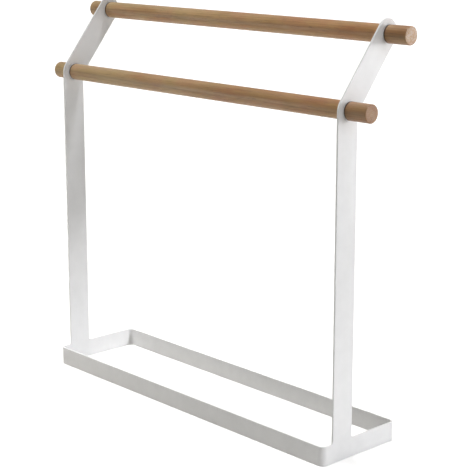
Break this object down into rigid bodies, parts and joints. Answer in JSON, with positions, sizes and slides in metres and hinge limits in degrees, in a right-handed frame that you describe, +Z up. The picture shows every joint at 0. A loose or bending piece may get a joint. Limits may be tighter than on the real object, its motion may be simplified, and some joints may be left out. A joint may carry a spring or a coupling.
{
  "type": "bath towel stand",
  "caption": "Free-standing towel stand: open steel base band, two upright plates that lean back at the top, and two round wooden bars that run through to short outer knobs.",
  "frame": {"origin": "centre of the base band at floor level, which is the middle of the bottom of the whole stand", "axes": "+X along the bars to the right-hand end frame, -Y towards the front, where the lower bar is, +Z up"},
  "size_m": [0.72, 0.16, 0.6401],
  "materials": {
    "white_steel": "matt white powder coat with a fine orange-peel texture",
    "bar_wood": "brown hardwood with lengthwise grain under a matt clear lacquer",
    "insert_brass": "turned",
    "bolt_steel": "bright zinc plate"
  },
  "bodies": {
    "root": {"left_end_frame": "white_steel", "right_end_frame": "white_steel", "front_rail": "white_steel", "back_rail": "white_steel", "lower_bar": "bar_wood", "upper_bar": "bar_wood", "lower_left_knob": "bar_wood", "lower_right_knob": "bar_wood", "upper_left_knob": "bar_wood", "upper_right_knob": "bar_wood", "bar_thread_inserts": "insert_brass", "knob_hanger_bolts": "bolt_steel"}
  },
  "joints": []
}
